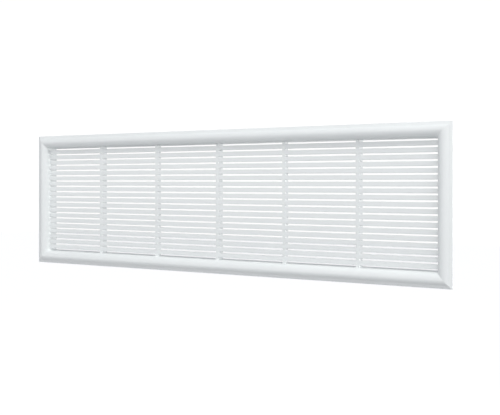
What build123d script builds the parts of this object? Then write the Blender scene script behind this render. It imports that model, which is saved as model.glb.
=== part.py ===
from build123d import *
import os

# All sizes in millimetres. X runs along the grille, Z up, and Y into the wall.
# The wall's surface is the plane Y = 0.

# overall frame
overall_width = 455.0
overall_height = 133.4

# frame moulding, a hollow half-round with a bevelled rim round it
bezel_width = 12.5
crown_height = 4.2
crown_position = 6.4
rim_width = 2.7
rim_edge_thickness = 1.5
rim_inner_thickness = 2.5
shell_wall = 2.0
contact_width = 3.0

# collar that goes into the opening in the wall
collar_depth = 11.2
collar_taper = 0.7

# slotted grid
grid_setback = 2.2
grid_thickness = 3.3
bar_count = 19
slot_height = 1.48
end_slot_height = 2.31
bar_edge_radius = 0.3

# upright ribs
panel_count = 6
rib_width = 3.3
rib_edge_radius = 0.3
deep_rib_depth = 7.3
shallow_rib_depth = 5.0
wall_overlap = 0.5

opening_width = overall_width - 2 * bezel_width
opening_height = overall_height - 2 * bezel_width
bar_pitch = (opening_height - 2 * end_slot_height + slot_height) / bar_count
bar_height = bar_pitch - slot_height
bar_length = opening_width + 2 * wall_overlap
rib_height = opening_height + 2 * wall_overlap
rib_pitch = opening_width / panel_count
rib_count = panel_count - 1
deep_rib_count = (rib_count + 1) // 2
shallow_rib_count = rib_count // 2

# The frame's section stands on the bottom member's middle, with local x from the
# outer edge inward and local y towards the room.
section_plane = Plane(
    origin=(0, 0, -overall_height / 2), x_dir=(0, 0, 1), z_dir=(1, 0, 0)
)

with BuildPart() as vent_grille:
    # frame moulding and collar, one section carried round the rectangle
    with BuildLine(Plane.XZ) as outline:
        Polyline(
            (0, -overall_height / 2),
            (overall_width / 2, -overall_height / 2),
            (overall_width / 2, overall_height / 2),
            (-overall_width / 2, overall_height / 2),
            (-overall_width / 2, -overall_height / 2),
            (0, -overall_height / 2),
        )
    with BuildSketch(section_plane):
        with BuildLine():
            Polyline(
                (0, 0),
                (0, rim_edge_thickness),
                (rim_width, rim_inner_thickness),
            )
            TangentArc(
                (crown_position, crown_height),
                (rim_width, rim_inner_thickness),
                tangent=(-1, 0),
            )
            TangentArc(
                (crown_position, crown_height), (bezel_width, 0), tangent=(1, 0)
            )
            Polyline(
                (bezel_width, 0),
                (bezel_width + collar_taper, -collar_depth),
                (bezel_width + collar_taper - shell_wall, -collar_depth),
                (bezel_width - shell_wall, 0),
            )
            TangentArc(
                (crown_position, crown_height - shell_wall),
                (bezel_width - shell_wall, 0),
                tangent=(1, 0),
            )
            TangentArc(
                (crown_position, crown_height - shell_wall),
                (contact_width, 0),
                tangent=(-1, 0),
            )
            Line((contact_width, 0), (0, 0))
        make_face()
    sweep(path=outline.wires()[0], transition=Transition.RIGHT)

    # level bars, run into the collar at both ends
    with BuildSketch(Plane.YZ.offset(-bar_length / 2)):
        with Locations((grid_setback + grid_thickness / 2, 0)):
            with GridLocations(0, bar_pitch, 1, bar_count):
                Rectangle(grid_thickness, bar_height)
        front = vertices().group_by(Axis.X)[0]
        fillet(front, radius=bar_edge_radius)
    extrude(amount=bar_length)

    # upright ribs flush with the bars, deep and shallow ones in turn
    for count, depth in (
        (deep_rib_count, deep_rib_depth),
        (shallow_rib_count, shallow_rib_depth),
    ):
        with BuildSketch(Plane.XY.offset(-rib_height / 2)):
            with Locations((0, grid_setback + depth / 2)):
                with GridLocations(2 * rib_pitch, 0, count, 1):
                    Rectangle(rib_width, depth)
            front = vertices().group_by(Axis.Y)[0]
            fillet(front, radius=rib_edge_radius)
        extrude(amount=rib_height)

vent_grille.part.label = "vent_grille"

os.makedirs("parts", exist_ok=True)
export_step(vent_grille.part, "parts/vent_grille.step")
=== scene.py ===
import math

import bpy
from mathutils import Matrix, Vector

bl_info = {
    "name": "Slotted Air Vent",
    "version": (1, 0, 0),
    "blender": (4, 5, 0),
    "location": "3D View > Sidebar > Air Vent",
    "description": "Finishes the moulded air vent and sets up its studio",
    "category": "Object",
}

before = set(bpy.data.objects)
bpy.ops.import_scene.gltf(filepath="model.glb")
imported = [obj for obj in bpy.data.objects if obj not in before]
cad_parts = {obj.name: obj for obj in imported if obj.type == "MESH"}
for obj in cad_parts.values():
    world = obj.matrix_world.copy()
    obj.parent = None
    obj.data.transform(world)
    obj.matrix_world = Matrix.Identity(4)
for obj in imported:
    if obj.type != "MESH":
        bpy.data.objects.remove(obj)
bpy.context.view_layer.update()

BLACK = (0.0, 0.0, 0.0, 1.0)
WHITE = (1.0, 1.0, 1.0, 1.0)

# The slow drift of the plastic's shade: its noise's scale, and the part of the
# noise's range that is spread over the whole drift.
DRIFT_SCALE = 9.0
DRIFT_LOW = 0.35
DRIFT_HIGH = 0.65

# Points that agree to this many digits of a metre are one point of the moulding.
JOIN_DIGITS = 6
JOIN_DISTANCE = 10.0**-JOIN_DIGITS

# A face's normal counts as square to an axis when its share along it is under this.
SQUARE = 0.001

FLOOR_HALF_WIDTH = 12.0

# A little over white where the camera sees it, so that the picture's edge stays white.
BACKDROP_STRENGTH = 1.05

SENSOR_WIDTH = 36.0


# ---------------------------------------------------------------- shader maths


class Sock:
    """A node socket that can be used in Python sums, each of which adds a Math node."""

    def __init__(self, shader, socket):
        self.shader = shader
        self.socket = socket

    def _math(self, operation, *values):
        return self.shader.add(
            "ShaderNodeMath", {"operation": operation}, dict(enumerate(values))
        )

    def __add__(self, other):
        return self._math("ADD", self, other)

    __radd__ = __add__

    def __sub__(self, other):
        return self._math("SUBTRACT", self, other)

    def __rsub__(self, other):
        return self._math("SUBTRACT", other, self)

    def __mul__(self, other):
        return self._math("MULTIPLY", self, other)

    __rmul__ = __mul__


class Shader:
    """A material's or the world's node tree, emptied and ready for new nodes."""

    # The colour sockets of a Mix node go by number, because its kinds share their names.
    MIX_FIRST = 6
    MIX_SECOND = 7
    MIX_RESULT = 2

    def __init__(self, owner):
        owner.use_nodes = True
        self.tree = owner.node_tree
        self.tree.nodes.clear()

    def add(self, kind, settings=None, inputs=None, output=0):
        """Add one node: its settings first, then the values or links of its sockets."""
        node = self.tree.nodes.new(kind)
        for name, value in (settings or {}).items():
            if name == "stops":
                ramp = node.color_ramp
                for stop, (position, shade) in zip(list(ramp.elements), value):
                    stop.position = position
                    stop.color = shade
            else:
                setattr(node, name, value)
        for name, value in (inputs or {}).items():
            if isinstance(value, Sock):
                self.tree.links.new(value.socket, node.inputs[name])
            else:
                node.inputs[name].default_value = value
        return Sock(self, node.outputs[output]) if len(node.outputs) else None

    def mix_colours(self, factor, first, second):
        """The first colour where the factor is 0, and the second where it is 1."""
        return self.add(
            "ShaderNodeMix",
            {"data_type": "RGBA"},
            {"Factor": factor, self.MIX_FIRST: first, self.MIX_SECOND: second},
            output=self.MIX_RESULT,
        )

    def mix_shaders(self, factor, first, second):
        """The first shader where the factor is 0, and the second where it is 1."""
        return self.add("ShaderNodeMixShader", {}, {"Fac": factor, 1: first, 2: second})

    def seen(self):
        """1 for rays that show the backdrop: straight, in a gloss or through glass."""
        camera = self.add("ShaderNodeLightPath", output="Is Camera Ray")
        gloss = self.add("ShaderNodeLightPath", output="Is Glossy Ray")
        through = self.add("ShaderNodeLightPath", output="Is Transmission Ray")
        return camera + gloss + through


# ------------------------------------------------------------------ properties


class AirVentFinish(bpy.types.PropertyGroup):
    """Colour and surface of the white moulding."""

    corner_angle: bpy.props.FloatProperty(
        name="Corner angle",
        description="Faces that meet at more than this angle keep a crisp corner",
        subtype="ANGLE",
        min=0.0,
        max=math.pi,
        default=math.radians(24.0),
    )
    colour: bpy.props.FloatVectorProperty(
        name="Colour",
        description="Colour of the plastic",
        subtype="COLOR",
        size=4,
        min=0.0,
        max=1.0,
        default=(0.803, 0.83, 0.832, 1.0),
    )
    colour_drift: bpy.props.FloatProperty(
        name="Colour drift",
        description="How much the plastic's shade wanders along the moulding",
        min=0.0,
        max=0.2,
        default=0.02,
    )
    roughness: bpy.props.FloatProperty(
        name="Roughness",
        description="How dull the moulded surface is",
        subtype="FACTOR",
        min=0.0,
        max=1.0,
        default=0.42,
    )
    roughness_drift: bpy.props.FloatProperty(
        name="Roughness drift",
        description="How much the dullness wanders along with the shade",
        min=0.0,
        max=0.3,
        default=0.08,
    )
    grain_size: bpy.props.FloatProperty(
        name="Grain size",
        description="Size of the fine spark-eroded grain that the mould leaves",
        unit="LENGTH",
        min=0.0001,
        max=0.01,
        default=0.0006,
    )
    grain_depth: bpy.props.FloatProperty(
        name="Grain depth",
        description="Depth of that grain",
        unit="LENGTH",
        min=0.0,
        max=0.001,
        default=0.000012,
    )


class AirVentStage(bpy.types.PropertyGroup):
    """Floor, lights and camera round the vent."""

    floor_colour: bpy.props.FloatVectorProperty(
        name="Floor colour",
        description="Colour of the plain floor",
        subtype="COLOR",
        size=4,
        min=0.0,
        max=1.0,
        default=(0.55, 0.55, 0.55, 1.0),
    )
    floor_lift: bpy.props.FloatProperty(
        name="Floor lift",
        description="How much whiter than its own light the floor looks to the camera",
        min=0.0,
        max=1.0,
        default=0.86,
    )
    floor_drop: bpy.props.FloatProperty(
        name="Floor drop",
        description="How far the floor lies below the vent's centre",
        unit="LENGTH",
        min=0.1,
        max=5.0,
        default=0.9,
    )
    sky_strength: bpy.props.FloatProperty(
        name="Sky strength",
        description="Strength of the even light from all round",
        min=0.0,
        max=5.0,
        default=0.25,
    )
    sky_colour: bpy.props.FloatVectorProperty(
        name="Sky colour",
        description="Colour of that even light, a touch cool",
        subtype="COLOR",
        size=4,
        min=0.0,
        max=2.0,
        default=(0.98, 1.0, 1.15, 1.0),
    )
    lamp_colour: bpy.props.FloatVectorProperty(
        name="Lamp colour",
        description="Colour of the lamps, a touch warmer than the sky",
        subtype="COLOR",
        size=3,
        min=0.0,
        max=1.0,
        default=(1.0, 1.0, 0.975),
    )
    key_power: bpy.props.FloatProperty(
        name="Key power",
        description="Power of the large soft lamp in front, above and to the right",
        unit="POWER",
        min=0.0,
        max=500.0,
        default=12.0,
    )
    high_power: bpy.props.FloatProperty(
        name="High power",
        description="Power of the lamp high over the front",
        unit="POWER",
        min=0.0,
        max=500.0,
        default=13.3,
    )
    side_power: bpy.props.FloatProperty(
        name="Side power",
        description="Power of the lamp above the right-hand end",
        unit="POWER",
        min=0.0,
        max=500.0,
        default=13.0,
    )
    left_power: bpy.props.FloatProperty(
        name="Left power",
        description="Power of the weak level lamp in front at the left",
        unit="POWER",
        min=0.0,
        max=500.0,
        default=6.1,
    )
    rear_power: bpy.props.FloatProperty(
        name="Rear power",
        description="Power of the level strip lamp behind the vent at its right",
        unit="POWER",
        min=0.0,
        max=500.0,
        default=14.5,
    )
    back_power: bpy.props.FloatProperty(
        name="Back power",
        description="Power of the wide lamp low down behind the vent",
        unit="POWER",
        min=0.0,
        max=500.0,
        default=6.0,
    )
    camera_place: bpy.props.FloatVectorProperty(
        name="Camera place",
        description="Where the camera stands, from the vent's centre on the wall",
        subtype="TRANSLATION",
        unit="LENGTH",
        default=(0.4638, -0.6734, 0.018),
    )
    camera_turn: bpy.props.FloatProperty(
        name="Camera turn",
        description="How far the camera turns to its left from facing the wall",
        subtype="ANGLE",
        default=math.radians(32.33),
    )
    camera_lens: bpy.props.FloatProperty(
        name="Camera lens",
        description="Focal length on a full-frame sensor, in millimetres",
        min=10.0,
        max=200.0,
        default=63.36,
    )
    camera_shift: bpy.props.FloatProperty(
        name="Camera shift",
        description="Upward shift of the picture, as a share of its width",
        min=-0.5,
        max=0.5,
        default=-0.0504,
    )


# ------------------------------------------------------------------- operators


class AIRVENT_OT_grille(bpy.types.Operator):
    """Give the moulded grille its smooth curves and its plastic"""

    bl_idname = "airvent.grille"
    bl_label = "Finish grille"

    def execute(self, context):
        finish = context.scene.air_vent_finish
        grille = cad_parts["vent_grille"]
        grille.data.materials.clear()
        grille.data.materials.append(self.plastic(finish))
        self.smooth_curves(grille, finish.corner_angle)
        return {"FINISHED"}

    def plastic(self, finish):
        """White plastic with a slow drift of shade and the mould's fine grain."""
        material = bpy.data.materials.new("white_moulded_plastic")
        shader = Shader(material)
        place = shader.add("ShaderNodeTexCoord", output="Object")
        flow = shader.add(
            "ShaderNodeTexNoise",
            {"noise_dimensions": "3D"},
            {"Vector": place, "Scale": DRIFT_SCALE, "Detail": 3.0, "Roughness": 0.55},
        )
        drift = shader.add(
            "ShaderNodeValToRGB",
            {"stops": ((DRIFT_LOW, BLACK), (DRIFT_HIGH, WHITE))},
            {"Fac": flow},
        )
        red, green, blue, _ = finish.colour
        darker = 1.0 - finish.colour_drift
        colour = shader.mix_colours(
            drift,
            (red * darker, green * darker, blue * darker, 1.0),
            (red, green, blue, 1.0),
        )
        grain = shader.add(
            "ShaderNodeTexNoise",
            {"noise_dimensions": "3D"},
            {
                "Vector": place,
                "Scale": 1.0 / finish.grain_size,
                "Detail": 2.0,
                "Roughness": 0.6,
            },
        )
        bump = shader.add(
            "ShaderNodeBump",
            {},
            {"Strength": 1.0, "Distance": finish.grain_depth, "Height": grain},
        )
        surface = shader.add(
            "ShaderNodeBsdfPrincipled",
            {},
            {
                "Base Color": colour,
                "Roughness": finish.roughness + finish.roughness_drift * (drift - 0.5),
                "IOR": 1.5,
                "Normal": bump,
            },
        )
        shader.add("ShaderNodeOutputMaterial", {}, {"Surface": surface})
        return material

    def smooth_curves(self, grille, corner_angle):
        """Shade each moulding's curves smooth, and keep its edges and mitres crisp."""
        mesh = grille.data
        mesh.shade_smooth()

        def ends(key):
            points = (mesh.vertices[index].co for index in key)
            return frozenset(tuple(round(c, JOIN_DIGITS) for c in co) for co in points)

        # The normals of a level member are square to X, and those of an upright member
        # to Z. Two curves that meet at a mitre have one of each, and stay crisp.
        def one_curve(a, b):
            level = abs(a.x) < SQUARE and abs(b.x) < SQUARE
            upright = abs(a.z) < SQUARE and abs(b.z) < SQUARE
            return (level or upright) and a.angle(b, 0.0) < corner_angle

        # The loaded mesh is split along its faces, so the sides of an edge are found
        # by its place.
        meeting = {}
        for face in mesh.polygons:
            for key in face.edge_keys:
                meeting.setdefault(ends(key), []).append(face.normal.copy())
        for edge in mesh.edges:
            first, *others = meeting[ends(edge.key)]
            edge.use_edge_sharp = not all(one_curve(first, other) for other in others)
        weld = grille.modifiers.new("joined_faces", "WELD")
        weld.merge_threshold = JOIN_DISTANCE


class AIRVENT_OT_stage(bpy.types.Operator):
    """Lay the floor, hang the lamps and set the camera at the photograph's angle"""

    bl_idname = "airvent.stage"
    bl_label = "Set stage"

    def execute(self, context):
        stage = context.scene.air_vent_stage
        self.lay_floor(context, stage)
        self.set_sky(context, stage)
        self.hang_lamps(context, stage)
        self.place_camera(context, stage)
        context.scene.view_settings.view_transform = "Standard"
        return {"FINISHED"}

    def lay_floor(self, context, stage):
        """A matt floor that takes shadows, lifted to white for the camera."""
        mesh = bpy.data.meshes.new("floor")
        half = FLOOR_HALF_WIDTH
        corners = ((-half, -half), (half, -half), (half, half), (-half, half))
        points = [(x, y, -stage.floor_drop) for x, y in corners]
        mesh.from_pydata(points, [], [(0, 1, 2, 3)])
        floor = bpy.data.objects.new("floor", mesh)
        context.scene.collection.objects.link(floor)
        material = bpy.data.materials.new("pale_floor")
        shader = Shader(material)
        seen = shader.seen()
        matt = shader.add(
            "ShaderNodeBsdfDiffuse", {}, {"Color": tuple(stage.floor_colour)}
        )
        glow = shader.add(
            "ShaderNodeEmission", {}, {"Color": WHITE, "Strength": stage.floor_lift}
        )
        lifted = shader.add("ShaderNodeAddShader", {}, {0: matt, 1: glow})
        mixed = shader.mix_shaders(seen, matt, lifted)
        shader.add("ShaderNodeOutputMaterial", {}, {"Surface": mixed})
        mesh.materials.append(material)

    def set_sky(self, context, stage):
        """An even sky that lights the vent, white where it is seen."""
        world = bpy.data.worlds.new("studio")
        context.scene.world = world
        shader = Shader(world)

        def even(colour, strength):
            return shader.add(
                "ShaderNodeBackground", {}, {"Color": colour, "Strength": strength}
            )

        seen = shader.seen()
        sky = even(tuple(stage.sky_colour), stage.sky_strength)
        mirrored = shader.mix_shaders(seen, sky, even(WHITE, 1.0))
        camera = shader.add("ShaderNodeLightPath", output="Is Camera Ray")
        backdrop = even(WHITE, BACKDROP_STRENGTH)
        mixed = shader.mix_shaders(camera, mirrored, backdrop)
        shader.add("ShaderNodeOutputWorld", {}, {"Surface": mixed})

    def hang_lamps(self, context, stage):
        """Six soft lamps, each turned to the vent's centre."""
        # Widths, heights and places are in metres, the places from the vent's centre.
        for name, power, width, height, place in (
            ("key", stage.key_power, 2.0, 1.0, (0.5, -2.2, 0.5)),
            ("high", stage.high_power, 1.0, 0.8, (0.6, -0.75, 1.65)),
            ("side", stage.side_power, 1.2, 1.2, (1.4, -0.6, 1.0)),
            ("left", stage.left_power, 1.2, 0.4, (-1.15, -1.47, 0.15)),
            ("rear", stage.rear_power, 1.2, 0.15, (1.5, 1.0, 0.0)),
            ("back", stage.back_power, 2.0, 1.4, (-0.4, 2.2, -0.5)),
        ):
            data = bpy.data.lights.new(name, "AREA")
            data.shape = "RECTANGLE"
            data.size = width
            data.size_y = height
            data.energy = power
            data.color = tuple(stage.lamp_colour)
            lamp = bpy.data.objects.new(name, data)
            context.scene.collection.objects.link(lamp)
            lamp.location = place
            lamp.rotation_euler = (-Vector(place)).to_track_quat("-Z", "Y").to_euler()

    def place_camera(self, context, stage):
        """The level camera of the photograph, with its picture shifted."""
        data = bpy.data.cameras.new("camera")
        data.sensor_width = SENSOR_WIDTH
        data.lens = stage.camera_lens
        data.shift_y = stage.camera_shift
        data.clip_start = 0.01
        data.clip_end = 50.0
        camera = bpy.data.objects.new("camera", data)
        context.scene.collection.objects.link(camera)
        camera.location = tuple(stage.camera_place)
        camera.rotation_euler = (math.pi / 2, 0.0, stage.camera_turn)
        context.scene.camera = camera


# --------------------------------------------------------------------- sidebar


class AIRVENT_PT_sidebar(bpy.types.Panel):
    """The vent's finish and stage, with the operators that make them"""

    bl_idname = "AIRVENT_PT_sidebar"
    bl_label = "Air Vent"
    bl_space_type = "VIEW_3D"
    bl_region_type = "UI"
    bl_category = "Air Vent"

    def draw(self, context):
        layout = self.layout
        for title, group, operator in (
            ("Grille", context.scene.air_vent_finish, AIRVENT_OT_grille),
            ("Stage", context.scene.air_vent_stage, AIRVENT_OT_stage),
        ):
            box = layout.box()
            box.label(text=title)
            for name in group.__annotations__:
                box.prop(group, name)
            box.operator(operator.bl_idname)


CLASSES = (
    AirVentFinish,
    AirVentStage,
    AIRVENT_OT_grille,
    AIRVENT_OT_stage,
    AIRVENT_PT_sidebar,
)


def register():
    for item in CLASSES:
        bpy.utils.register_class(item)
    bpy.types.Scene.air_vent_finish = bpy.props.PointerProperty(type=AirVentFinish)
    bpy.types.Scene.air_vent_stage = bpy.props.PointerProperty(type=AirVentStage)


def unregister():
    del bpy.types.Scene.air_vent_stage
    del bpy.types.Scene.air_vent_finish
    for item in reversed(CLASSES):
        bpy.utils.unregister_class(item)


def main():
    register()
    bpy.ops.airvent.grille()
    bpy.ops.airvent.stage()
    bpy.context.view_layer.update()


if __name__ == "__main__":
    main()
